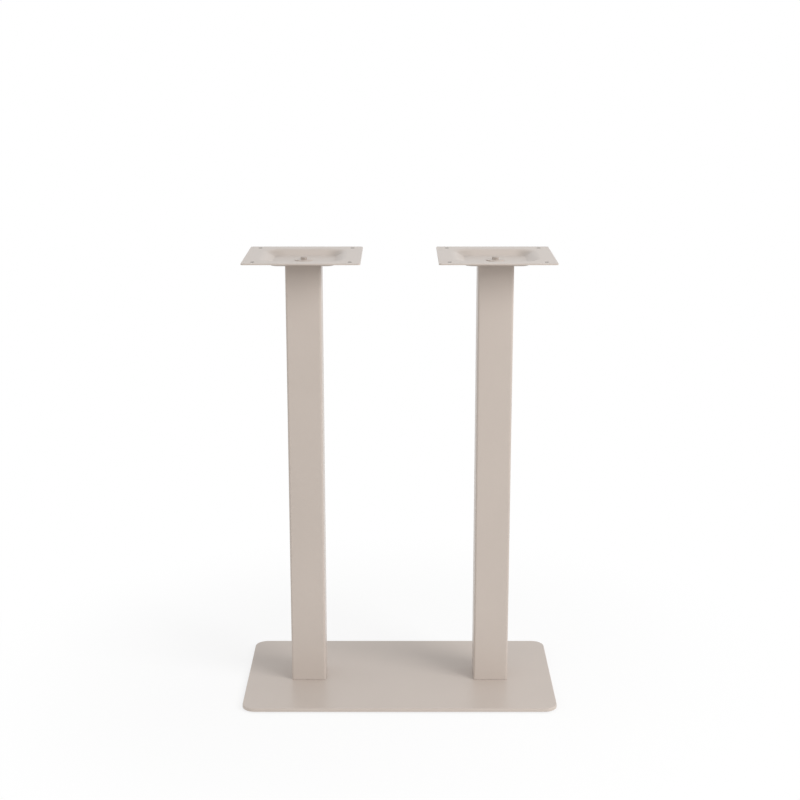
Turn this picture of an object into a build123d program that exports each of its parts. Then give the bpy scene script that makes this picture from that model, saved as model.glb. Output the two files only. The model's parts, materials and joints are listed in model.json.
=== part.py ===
# Double column table base: a flat steel base plate, two square tube columns and two dished top plates.
# Millimetres, +Z up, origin on the floor under the middle of the base, +X along the base.
import os
from math import radians, tan

from build123d import *

# Overall size
overall_height = 1020

# Base plate, cut from flat steel
base_length = 720
base_depth = 400
base_thickness = 8
base_corner_radius = 30
base_edge_radius = 2
base_underside_chamfer = 0.8

# Floor glides, pushed into blind holes under the base
glide_diameter = 30
glide_height = 3
glide_edge_chamfer = 1.2
glide_inset = 45
glide_stem_diameter = 8
glide_stem_length = 4.5

# Columns, square tube
column_size = 80
column_wall = 2.5
column_corner_radius = 5
column_end_chamfer = 0.8
column_inset = 145

# Threaded end plates welded inside both ends of each column
insert_thickness = 12
insert_corner_radius = 4

# Top plates, sheet steel with a square dish pressed into the middle
plate_side = 260
plate_thickness = 3
plate_corner_radius = 6
plate_edge_chamfer = 0.5
dish_floor = 138
dish_depth = 12
dish_wall_slope = 28
dish_floor_corner_radius = 16
rim_bend_radius = 27
floor_bend_radius = 4
screw_hole_diameter = 9
screw_hole_spacing = 212

# Centre bolt and washer that hold each top plate on its column
bolt_diameter = 8
bolt_length = 20
bolt_tip_chamfer = 1
bolt_head_flats = 13
bolt_head_height = 5.3
bolt_head_face_diameter = 12
bolt_head_corner_drop = 0.8
bolt_head_turn = -15
washer_diameter = 40
washer_thickness = 2
washer_edge_chamfer = 0.4

# Countersunk screws that hold each column on the base, driven from below
base_screw_diameter = 10
base_screw_length = 20
base_screw_wall_distance = 17.5
base_screw_head_diameter = 20
base_screw_head_land = 0.6
base_screw_socket_flats = 6
base_screw_socket_depth = 3.5

# Clearances, measured on the radius or on each side
insert_clearance = 0.2
thread_clearance = 0.1
bolt_hole_clearance = 0.6
countersink_clearance = 0.15
stem_clearance = 0.1

# Heights of the seats, from the floor up
base_underside = glide_height
base_top = base_underside + base_thickness
dish_floor_top = overall_height - dish_depth
column_top = dish_floor_top - plate_thickness
rim_underside = overall_height - plate_thickness
bolt_seat = dish_floor_top + washer_thickness

# Places on the base: columns in from its ends, glides near its corners
column_spacing = base_length - 2 * column_inset
column_signs = {"left": -1, "right": 1}
base_screw_signs = {"outer": 1, "inner": -1}
glide_signs = {"front_left": (-1, -1), "front_right": (1, -1), "rear_left": (-1, 1), "rear_right": (1, 1)}
glide_x = base_length / 2 - glide_inset
glide_y = base_depth / 2 - glide_inset

# Inside of the columns, and the end plates and screws that fit there
column_inside = column_size - 2 * column_wall
column_inside_radius = column_corner_radius - column_wall
insert_size = column_inside - 2 * insert_clearance
base_screw_spacing = column_inside - 2 * base_screw_wall_distance

# Profile radii and heights of the countersunk screw
screw_radius = base_screw_diameter / 2
screw_head_radius = base_screw_head_diameter / 2
screw_land_top = countersink_clearance + base_screw_head_land
screw_cone_top = screw_land_top + screw_head_radius - screw_radius
countersink_radius = screw_head_radius + screw_land_top + countersink_clearance
countersink_angle = 90

# Size of the dish at the rim, and how far the underside of a bend lies outward in a sheet of even thickness
dish_run = dish_depth / tan(radians(dish_wall_slope))
dish_opening = dish_floor + 2 * dish_run
dish_corner_radius = dish_floor_corner_radius + dish_run
wall_taper = 90 - dish_wall_slope
bend_shift = plate_thickness * tan(radians(dish_wall_slope / 2))


def dish_edges(plate, centre_x, height):
    # Edges of the dish at one height, apart from the outline of the plate
    reach = dish_opening / 2 + plate_thickness
    level = plate.edges().filter_by_position(Axis.Z, height - 0.01, height + 0.01)
    across = level.filter_by_position(Axis.X, centre_x - reach, centre_x + reach)
    return across.filter_by_position(Axis.Y, -reach, reach)


os.makedirs("parts", exist_ok=True)


# Base plate with countersunk screw holes under each column and blind holes for the glides
with BuildPart() as base_plate:
    with BuildSketch(Plane.XY.offset(base_underside)):
        RectangleRounded(base_length, base_depth, base_corner_radius)
    extrude(amount=base_thickness)
    fillet(base_plate.edges().group_by(Axis.Z)[-1], base_edge_radius)
    chamfer(base_plate.edges().group_by(Axis.Z)[0], base_underside_chamfer)
    with Locations(Plane((0, 0, base_underside), z_dir=(0, 0, -1))):
        with GridLocations(column_spacing, 0, 2, 1):
            with GridLocations(base_screw_spacing, 0, 2, 1):
                CounterSinkHole(
                    radius=screw_radius + bolt_hole_clearance,
                    counter_sink_radius=countersink_radius,
                    depth=base_thickness,
                    counter_sink_angle=countersink_angle,
                )
        with GridLocations(2 * glide_x, 2 * glide_y, 2, 2):
            Hole(glide_stem_diameter / 2 + stem_clearance, depth=glide_stem_length + stem_clearance)
base_plate.part.label = "base_plate"
export_step(base_plate.part, "parts/base_plate.step")


# Glides: a round foot with a chamfered lower edge, and a stem in the base plate
for place, (sign_x, sign_y) in glide_signs.items():
    centre = (sign_x * glide_x, sign_y * glide_y)
    with BuildPart() as glide:
        with BuildSketch(Plane((*centre, 0))):
            Circle(glide_diameter / 2)
        extrude(amount=glide_height)
        chamfer(glide.edges().group_by(Axis.Z)[0], glide_edge_chamfer)
        with BuildSketch(Plane((*centre, glide_height))):
            Circle(glide_stem_diameter / 2)
        extrude(amount=glide_stem_length)
    glide.part.label = f"{place}_glide"
    export_step(glide.part, f"parts/{place}_glide.step")


for side, sign in column_signs.items():
    x = sign * column_spacing / 2

    # Column tube, from the top of the base to the underside of the dish
    with BuildPart() as column:
        with BuildSketch(Plane((x, 0, base_top))):
            RectangleRounded(column_size, column_size, column_corner_radius)
            RectangleRounded(column_inside, column_inside, column_inside_radius, mode=Mode.SUBTRACT)
        extrude(amount=column_top - base_top)
        ends = column.faces().sort_by(Axis.Z)
        chamfer(ends[0].outer_wire().edges() + ends[-1].outer_wire().edges(), column_end_chamfer)
    column.part.label = f"{side}_column"
    export_step(column.part, f"parts/{side}_column.step")

    # End plate in the foot of the column, tapped for the two base screws
    with BuildPart() as foot_insert:
        with BuildSketch(Plane((x, 0, base_top))):
            RectangleRounded(insert_size, insert_size, insert_corner_radius)
            with GridLocations(base_screw_spacing, 0, 2, 1):
                Circle(screw_radius + thread_clearance, mode=Mode.SUBTRACT)
        extrude(amount=insert_thickness)
    foot_insert.part.label = f"{side}_foot_insert"
    export_step(foot_insert.part, f"parts/{side}_foot_insert.step")

    # End plate in the head of the column, tapped for the centre bolt
    with BuildPart() as head_insert:
        with BuildSketch(Plane((x, 0, column_top))):
            RectangleRounded(insert_size, insert_size, insert_corner_radius)
            Circle(bolt_diameter / 2 + thread_clearance, mode=Mode.SUBTRACT)
        extrude(amount=-insert_thickness)
    head_insert.part.label = f"{side}_head_insert"
    export_step(head_insert.part, f"parts/{side}_head_insert.step")

    # Countersunk socket screws from under the base into the foot of the column
    for end, screw_sign in base_screw_signs.items():
        screw_x = x + sign * screw_sign * base_screw_spacing / 2
        with BuildPart() as base_screw:
            with BuildSketch(Plane((screw_x, 0, base_underside), x_dir=(1, 0, 0), z_dir=(0, -1, 0))):
                with BuildLine():
                    Polyline(
                        (0, countersink_clearance),
                        (screw_head_radius, countersink_clearance),
                        (screw_head_radius, screw_land_top),
                        (screw_radius, screw_cone_top),
                        (screw_radius, base_screw_length),
                        (0, base_screw_length),
                        close=True,
                    )
                make_face()
            revolve(axis=Axis((screw_x, 0, 0), (0, 0, 1)))
            with BuildSketch(Plane((screw_x, 0, base_underside))):
                RegularPolygon(base_screw_socket_flats / 2, 6, major_radius=False)
            extrude(amount=base_screw_socket_depth, mode=Mode.SUBTRACT)
        base_screw.part.label = f"{side}_{end}_base_screw"
        export_step(base_screw.part, f"parts/{side}_{end}_base_screw.step")

    # Top plate: a flat rim and a square dish with sloped walls, pressed from one sheet
    with BuildPart() as top_plate:
        with BuildSketch(Plane((x, 0, rim_underside))):
            RectangleRounded(plate_side, plate_side, plate_corner_radius)
        extrude(amount=plate_thickness)
        chamfer(top_plate.edges().group_by(Axis.Z)[-1], plate_edge_chamfer)
        with BuildSketch(Plane((x, 0, rim_underside))):
            underside_opening = dish_opening + 2 * bend_shift
            RectangleRounded(underside_opening, underside_opening, dish_corner_radius + bend_shift)
        extrude(amount=-dish_depth, taper=wall_taper)
        with BuildSketch(Plane((x, 0, overall_height))):
            RectangleRounded(dish_opening, dish_opening, dish_corner_radius)
        extrude(amount=-dish_depth, taper=wall_taper, mode=Mode.SUBTRACT)
        fillet(dish_edges(top_plate, x, overall_height), rim_bend_radius + plate_thickness)
        fillet(dish_edges(top_plate, x, column_top), floor_bend_radius + plate_thickness)
        fillet(dish_edges(top_plate, x, dish_floor_top), floor_bend_radius)
        fillet(dish_edges(top_plate, x, rim_underside), rim_bend_radius)
        with BuildSketch(Plane((x, 0, overall_height))):
            with GridLocations(screw_hole_spacing, screw_hole_spacing, 2, 2):
                Circle(screw_hole_diameter / 2)
        extrude(amount=-plate_thickness, mode=Mode.SUBTRACT)
        with BuildSketch(Plane((x, 0, dish_floor_top))):
            Circle(bolt_diameter / 2 + bolt_hole_clearance)
        extrude(amount=-plate_thickness, mode=Mode.SUBTRACT)
    top_plate.part.label = f"{side}_top_plate"
    export_step(top_plate.part, f"parts/{side}_top_plate.step")

    # Washer that spreads the bolt's load over the floor of the dish
    with BuildPart() as top_washer:
        with BuildSketch(Plane((x, 0, dish_floor_top))):
            Circle(washer_diameter / 2)
            Circle(bolt_diameter / 2 + bolt_hole_clearance, mode=Mode.SUBTRACT)
        extrude(amount=washer_thickness)
        chamfer(top_washer.faces().sort_by(Axis.Z)[-1].outer_wire().edges(), washer_edge_chamfer)
    top_washer.part.label = f"{side}_top_washer"
    export_step(top_washer.part, f"parts/{side}_top_washer.step")

    # Hexagon bolt down into the head of the column, its corners turned off at the top
    with BuildPart() as top_bolt:
        with BuildSketch(Plane((x, 0, bolt_seat))):
            RegularPolygon(bolt_head_flats / 2, 6, major_radius=False, rotation=bolt_head_turn)
        extrude(amount=bolt_head_height)
        with BuildSketch(Plane((x, 0, bolt_seat), x_dir=(1, 0, 0), z_dir=(0, -1, 0))):
            with BuildLine():
                corner_radius = bolt_head_flats / 3 ** 0.5
                Polyline(
                    (0, 0),
                    (corner_radius, 0),
                    (corner_radius, bolt_head_height - bolt_head_corner_drop),
                    (bolt_head_face_diameter / 2, bolt_head_height),
                    (0, bolt_head_height),
                    close=True,
                )
            make_face()
        revolve(axis=Axis((x, 0, 0), (0, 0, 1)), mode=Mode.INTERSECT)
        with BuildSketch(Plane((x, 0, bolt_seat))):
            Circle(bolt_diameter / 2)
        extrude(amount=-bolt_length)
        chamfer(top_bolt.edges().group_by(Axis.Z)[0], bolt_tip_chamfer)
    top_bolt.part.label = f"{side}_top_bolt"
    export_step(top_bolt.part, f"parts/{side}_top_bolt.step")
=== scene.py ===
import json
import math

import bpy
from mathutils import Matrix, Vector

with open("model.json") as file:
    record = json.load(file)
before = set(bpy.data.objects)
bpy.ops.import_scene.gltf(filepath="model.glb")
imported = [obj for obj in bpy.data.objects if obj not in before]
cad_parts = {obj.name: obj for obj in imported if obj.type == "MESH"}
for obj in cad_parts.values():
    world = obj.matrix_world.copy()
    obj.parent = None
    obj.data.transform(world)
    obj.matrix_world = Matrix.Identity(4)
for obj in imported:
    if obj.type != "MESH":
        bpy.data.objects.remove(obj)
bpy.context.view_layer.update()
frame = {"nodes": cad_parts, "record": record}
nodes = frame["nodes"]
record = frame["record"]
mounts = {mount["name"]: mount for mount in record["mounts"]}
plateScrews = mounts["right_top_screws"]  # the left plate mirrors the right one
mm = 0.001  # in metres
print("frame loaded:", len(nodes), "pieces")


class Wire:  # a shader socket that takes part in sums; without a socket it only starts a tree
    def __init__(self, tree, socket=None):
        self.tree = tree
        self.socket = socket

    def add(self, kind, settings=None, sockets=None, output=0):  # any node, settings first
        node = self.tree.nodes.new(kind)
        for key, value in (settings or {}).items():
            setattr(node, key, value)
        for key, value in (sockets or {}).items():
            if isinstance(value, Wire):
                self.tree.links.new(value.socket, node.inputs[key])
            else:
                node.inputs[key].default_value = value
        return Wire(self.tree, node.outputs[output] if node.outputs else None)

    def other(self, output):  # another output of the same node
        return Wire(self.tree, self.socket.node.outputs[output])

    def math(self, operation, first, second=0.0):
        return self.add("ShaderNodeMath", {"operation": operation}, {0: first, 1: second})

    def __add__(self, other):
        return self.math("ADD", self, other)

    def __radd__(self, other):
        return self.math("ADD", other, self)

    def __sub__(self, other):
        return self.math("SUBTRACT", self, other)

    def __rsub__(self, other):
        return self.math("SUBTRACT", other, self)

    def __mul__(self, other):
        return self.math("MULTIPLY", self, other)

    def __rmul__(self, other):
        return self.math("MULTIPLY", other, self)

    def __pow__(self, other):
        return self.math("POWER", self, other)

    def __rpow__(self, other):
        return self.math("POWER", other, self)

    def __lt__(self, other):
        return self.math("LESS_THAN", self, other)

    def __gt__(self, other):  # also what 0.5 < mask calls
        return self.math("GREATER_THAN", self, other)

    def __abs__(self):
        return self.math("ABSOLUTE", self)


def newFinish(name):  # an empty material, and the place on the piece in metres
    material = bpy.data.materials.new(name)
    material.use_nodes = True
    material.node_tree.nodes.clear()
    return material, Wire(material.node_tree).add("ShaderNodeTexCoord", output="Object")


def colour(rgb):
    return (*rgb, 1)


def mixColours(amount, first, second):
    return amount.add("ShaderNodeMix", {"data_type": "RGBA"}, {0: amount, 6: first, 7: second}, 2)


def noise(place, scale, detail):
    return place.add("ShaderNodeTexNoise", None, {"Vector": place, "Scale": scale, "Detail": detail})


def cells(place, scale):  # distance from the seed of each cell
    return place.add("ShaderNodeTexVoronoi", None, {"Vector": place, "Scale": scale}, "Distance")


def swing(pattern, amount):  # a pattern from 0 to 1, as plus and minus half the amount
    return (pattern - 0.5) * amount


def squares(first, second):
    return first * first + second * second


def ease(value, start, end, low=0.0, high=1.0):  # soft ramp from low at start to high at end
    return value.add("ShaderNodeMapRange", {"interpolation_type": "SMOOTHSTEP"}, {
        "Value": value, "From Min": start, "From Max": end, "To Min": low, "To Max": high})


def bump(height, distance):
    return height.add("ShaderNodeBump", None, {"Strength": 1.0, "Distance": distance, "Height": height})


def surface(shader):
    shader.add("ShaderNodeOutputMaterial", None, {"Surface": shader})


# Powder coat: warm grey with fine orange peel and a few dust nibs
taupeCoat = {
    "deep": (0.500, 0.438, 0.392),
    "pale": (0.575, 0.507, 0.457),
    "peel": (420, 2),  # scale and detail of the noise: bumps about 2 mm across
    "grain": (2600, 1),
    "cloud": (5, 3),
    "nibScale": 160,  # one nib in about 6 mm, and few of them stand out
    "nibSize": 0.045,
    "grainShade": 0.35,
    "cloudShade": 0.6,
    "roughness": 0.34,
    "grainGloss": 0.10,
    "cloudGloss": 0.08,
    "peelHeight": 0.00006,
    "grainShare": 0.25,  # of the peel's height
    "nibShare": 0.5,
}

# Top plates: painted shade on the walls of the screw holes, and painted shade in the corners of the dish
dishedPlate = {
    # painted shade on the walls of the screw holes and just past their edge
    "holeShade": (0.150, 0.138, 0.128),
    "holeLip": 0.0003,  # metres that it reaches past the hole
    # painted shade for the corners of the dish
    "pocketShade": (0.445, 0.388, 0.344),
    "pocketPlace": 0.071,  # metres from the middle of the plate, both ways
    "pocketReach": 0.031,
    "pocketDepth": 0.005,  # metres below the rim where it is at its most
}


# paints shade into the plate's colour: in the screw holes and in the corners of the dish
def plateShade(place, tint, look):
    middle, rim = plateScrews["pos_m"][0], plateScrews["pos_m"][2]
    size = plateScrews["dims"]
    spots = place.add("ShaderNodeSeparateXYZ", None, {"Vector": place})
    across = abs(abs(spots) - middle)
    along = abs(spots.other("Y"))
    depth = rim - spots.other("Z")
    fromPocket = squares(across - look["pocketPlace"], along - look["pocketPlace"]) ** 0.5
    # painted shade: darker in the corners of the dish, below the rim
    pocketShadeMask = ease(fromPocket, look["pocketReach"], 0) * ease(depth, 0, look["pocketDepth"])
    holeReach = size["hole_r_mm"] * mm + look["holeLip"]
    fromHole = squares(across - size["spacing_x_mm"] * mm / 2, along - size["spacing_y_mm"] * mm / 2)
    tint = mixColours(pocketShadeMask, tint, colour(look["pocketShade"]))
    # painted shade in the screw holes
    return mixColours(fromHole < holeReach ** 2, tint, colour(look["holeShade"]))


def powderCoat(name, look, plate=None):
    material, place = newFinish(name)
    peel = noise(place, *look["peel"])
    grain = noise(place, *look["grain"])
    cloud = noise(place, *look["cloud"])
    nibs = cells(place, look["nibScale"]) < look["nibSize"]
    shade = swing(grain, look["grainShade"]) + swing(cloud, look["cloudShade"]) + 0.5
    tint = mixColours(shade, colour(look["deep"]), colour(look["pale"]))
    if plate:
        tint = plateShade(place, tint, plate)
    height = peel + grain * look["grainShare"] + nibs * look["nibShare"]
    gloss = swing(cloud, look["cloudGloss"]) + swing(grain, look["grainGloss"])
    surface(place.add("ShaderNodeBsdfPrincipled", None, {
        "Base Color": tint,
        "Roughness": gloss + look["roughness"],
        "Normal": bump(height, look["peelHeight"]),
    }))
    return material


frameCoat = powderCoat("taupePowderCoat", taupeCoat)
plateCoat = powderCoat("taupePlateCoat", taupeCoat, dishedPlate)
print("powder coat mixed")


# Bolts and washers: the same tone over cold headed and punched steel, darker where it is thin on the bolt
boltCoat = {
    "deep": (0.350, 0.302, 0.267),
    "pale": (0.450, 0.394, 0.352),
    "grain": (3200, 2),
    "cloud": (180, 3),
    "grainShade": 0.5,
    "cloudShade": 0.9,
    "ringShade": 0.06,
    "roughness": 0.42,
    "grainGloss": 0.15,
    "cloudGloss": 0.15,
    "ringPitch": 0.0006,  # turning marks
    "ringShare": 0.4,  # of the grain's height
    "grainHeight": 0.00002,
}
washerCoat = boltCoat | {
    "deep": (0.485, 0.425, 0.380),
    "pale": (0.560, 0.494, 0.445),
    "grain": (2800, 2),
    "cloud": (120, 3),
    "roughness": 0.36,
    "ringPitch": 0.0011,  # marks of the punch
    "grainHeight": 0.00001,
}


def fastenerCoat(name, look):
    material, place = newFinish(name)
    spots = place.add("ShaderNodeSeparateXYZ", None, {"Vector": place})
    radius = squares(abs(spots) - plateScrews["pos_m"][0], spots.other("Y")) ** 0.5
    rings = radius.math("SINE", radius * (2 * math.pi / look["ringPitch"]))
    grain = noise(place, *look["grain"])
    cloud = noise(place, *look["cloud"])
    blotches = swing(grain, look["grainShade"]) + swing(cloud, look["cloudShade"])
    shade = blotches + rings * look["ringShade"] + 0.5
    gloss = swing(grain, look["grainGloss"]) + swing(cloud, look["cloudGloss"])
    surface(place.add("ShaderNodeBsdfPrincipled", None, {
        "Base Color": mixColours(shade, colour(look["deep"]), colour(look["pale"])),
        "Roughness": gloss + look["roughness"],
        "Normal": bump(rings * look["ringShare"] + grain, look["grainHeight"]),
    }))
    return material


# End plates inside the columns: hot rolled steel, marked along the roll
millSteel = {
    "scale": (0.300, 0.300, 0.310),
    "clean": (0.500, 0.498, 0.495),
    "roll": (260, 4),
    "rollStretch": (0.06, 1, 1),
    "rollShade": 0.6,
    "rollHeight": 0.00004,
    "patch": (60, 3),
    "patchShade": 0.4,
    "patchGloss": 0.3,
    "roughness": 0.42,
}


def rolledSteel(name, look):
    material, place = newFinish(name)
    drawn = place.add("ShaderNodeVectorMath", {"operation": "MULTIPLY"}, {0: place, 1: look["rollStretch"]})
    streaks = noise(drawn, *look["roll"])
    patches = noise(place, *look["patch"])
    shade = streaks * look["rollShade"] + patches * look["patchShade"]
    surface(place.add("ShaderNodeBsdfPrincipled", None, {
        "Base Color": mixColours(shade, colour(look["scale"]), colour(look["clean"])),
        "Metallic": 1.0,
        "Roughness": swing(patches, look["patchGloss"]) + look["roughness"],
        "Normal": bump(streaks, look["rollHeight"]),
    }))
    return material


# Base screws: black oxide, a little brown where it is thin
blackOxide = {
    "thick": (0.028, 0.028, 0.030),
    "thin": (0.105, 0.095, 0.088),
    "metallic": 0.7,
    "grain": (1500, 3),
    "grainGloss": 0.2,
    "grainHeight": 0.00002,
    "patch": (220, 2),
    "roughness": 0.36,
}


def oxideSteel(name, look):
    material, place = newFinish(name)
    grain = noise(place, *look["grain"])
    patches = noise(place, *look["patch"])
    surface(place.add("ShaderNodeBsdfPrincipled", None, {
        "Base Color": mixColours(patches * patches, colour(look["thick"]), colour(look["thin"])),
        "Metallic": look["metallic"],
        "Roughness": swing(grain, look["grainGloss"]) + look["roughness"],
        "Normal": bump(grain, look["grainHeight"]),
    }))
    return material


# Glides: black nylon from a sparked mould
blackNylon = {
    "deep": (0.030, 0.030, 0.032),
    "scuffed": (0.075, 0.074, 0.073),
    "scuff": (300, 4),
    "scuffShade": 0.8,
    "scuffGloss": 0.2,
    "sparkScale": 1400,
    "sparkHeight": 0.00005,
    "roughness": 0.55,
}


def mouldedNylon(name, look):
    material, place = newFinish(name)
    scuffs = noise(place, *look["scuff"])
    surface(place.add("ShaderNodeBsdfPrincipled", None, {
        "Base Color": mixColours(scuffs * look["scuffShade"], colour(look["deep"]), colour(look["scuffed"])),
        "Roughness": swing(scuffs, look["scuffGloss"]) + look["roughness"],
        "Normal": bump(cells(place, look["sparkScale"]), look["sparkHeight"]),
    }))
    return material


finishes = {  # by the record's slots
    "powder_coat": frameCoat,
    "coated_fastener": fastenerCoat("taupeBoltCoat", boltCoat),
    "plain_steel": rolledSteel("rolledSteel", millSteel),
    "black_screw": oxideSteel("blackOxide", blackOxide),
    "glide_plastic": mouldedNylon("mouldedNylon", blackNylon),
}
ownFinishes = {  # pieces that differ from the rest of their slot
    "top_plate": plateCoat,
    "top_washer": fastenerCoat("taupeWasherCoat", washerCoat),
}
for subpart in record["subparts"]:
    name = subpart["node"]
    piece = name.split("_", 1)[1]  # left_top_plate and right_top_plate are both top_plate
    finish = ownFinishes.get(piece, finishes[subpart["material_slot"]])
    nodes[name].data.materials.clear()
    nodes[name].data.materials.append(finish)
print("finishes on", len(record["subparts"]), "pieces")


# Camera: fitted to the corners of the base and the top plates
shot = {
    "focalPixels": 1576.9,
    "framePixels": 800,
    "sensor": 36,
    "place": (0.0009, -3.5135, 1.5489),
    "pitch": 13.82,  # degrees below level
}
camera = bpy.data.cameras.new("shotCamera")
camera.sensor_width = shot["sensor"]
camera.lens = shot["focalPixels"] / shot["framePixels"] * shot["sensor"]
cameraObject = bpy.data.objects.new("shotCamera", camera)
cameraObject.location = shot["place"]
cameraObject.rotation_euler = (math.radians(90 - shot["pitch"]), 0, 0)
bpy.context.scene.collection.objects.link(cameraObject)
bpy.context.scene.camera = cameraObject
print("camera lens", round(camera.lens, 2))


# White studio: a pale floor that keeps the shadow near the base and clears to plain white
studio = {
    "floorSize": 12.0,
    "floorSeen": (0.95, 0.95, 0.95),
    "bounceNear": (0.82, 0.80, 0.78),  # light that the floor sends back up, close to the base and far off
    "bounceFar": (0.47, 0.44, 0.41),
    "clearNear": 0.78,  # how far the shadow is lifted close to the base
    "clearFrom": 0.42,  # metres from the middle where it starts to clear
    "clearTo": 1.1,
    "white": (1, 1, 1),
    "wallLevel": 1.0,  # light from the white walls
    "ceilingLevel": 0.39,
    "ceilingFrom": 32,  # degrees up where the walls start to darken
    "ceilingTo": 58,
    "backShade": 0.28,  # the wall behind is a little darker, so that edges read from there too
    "backFrom": 0.3,  # how far a direction points to the back, 1 is straight
}


def shownRay(start):  # 1 for rays that show the background itself
    paths = start.add("ShaderNodeLightPath", output="Is Camera Ray")
    shown = paths + paths.other("Is Glossy Ray") + paths.other("Is Transmission Ray")
    return start.add("ShaderNodeClamp", None, {"Value": shown})


def studioFloor(look):
    material, place = newFinish("studioFloor")
    reach = place.add("ShaderNodeVectorMath", {"operation": "LENGTH"}, {0: place}, "Value")
    away = ease(reach, look["clearFrom"], look["clearTo"])
    clear = away * (1 - look["clearNear"]) + look["clearNear"]
    shown = shownRay(place)
    bounce = mixColours(away, colour(look["bounceNear"]), colour(look["bounceFar"]))
    paint = mixColours(shown, bounce, colour(look["floorSeen"]))
    matte = place.add("ShaderNodeBsdfDiffuse", None, {"Color": paint})
    white = place.add("ShaderNodeEmission", None, {"Color": colour(look["white"]), "Strength": 1.0})
    surface(place.add("ShaderNodeMixShader", None, {0: clear * shown, 1: matte, 2: white}))
    return material


def studioWorld(look):
    world = bpy.data.worlds.new("studioWorld")
    world.use_nodes = True
    world.node_tree.nodes.clear()
    gaze = Wire(world.node_tree).add("ShaderNodeTexCoord", output="Generated")
    rise = gaze.add("ShaderNodeSeparateXYZ", None, {"Vector": gaze}, "Z")
    ceilingFrom = math.sin(math.radians(look["ceilingFrom"]))
    ceilingTo = math.sin(math.radians(look["ceilingTo"]))
    room = ease(rise, ceilingFrom, ceilingTo, look["wallLevel"], look["ceilingLevel"])
    back = ease(rise.other("Y"), look["backFrom"], 1)
    shown = shownRay(gaze)
    level = shown + (1 - shown) * room * (1 - back * look["backShade"])
    backdrop = gaze.add("ShaderNodeBackground", None, {"Color": colour(look["white"]), "Strength": level})
    gaze.add("ShaderNodeOutputWorld", None, {"Surface": backdrop})
    return world


bpy.ops.mesh.primitive_plane_add(size=studio["floorSize"])
floor = bpy.context.object
floor.name = "studioFloor"
floor.data.materials.append(studioFloor(studio))
bpy.context.scene.world = studioWorld(studio)
print("studio floor and walls in place")


# Soft boxes: a broad key from the front right and a weak fill from the left
softBoxes = {
    "key": {"place": (3.15, -2.22, 2.91), "aim": (0, 0, 0.4), "size": 2.4, "power": 115},
    "fill": {"place": (-3.2, 0, 1.4), "aim": (0, 0, 0.8), "size": 1.9, "power": 8},
}
for name, box in softBoxes.items():
    lamp = bpy.data.lights.new(name + "SoftBox", "AREA")
    lamp.shape = "SQUARE"
    lamp.size = box["size"]
    lamp.energy = box["power"]
    lampObject = bpy.data.objects.new(name + "SoftBox", lamp)
    lampObject.location = box["place"]
    lampObject.visible_glossy = False  # so that plates seen against the key don't bleach
    toAim = Vector(box["aim"]) - Vector(box["place"])
    lampObject.rotation_euler = toAim.to_track_quat("-Z", "Y").to_euler()
    bpy.context.scene.collection.objects.link(lampObject)
bpy.context.scene.view_settings.view_transform = "Standard"
print("lights:", ", ".join(softBoxes))
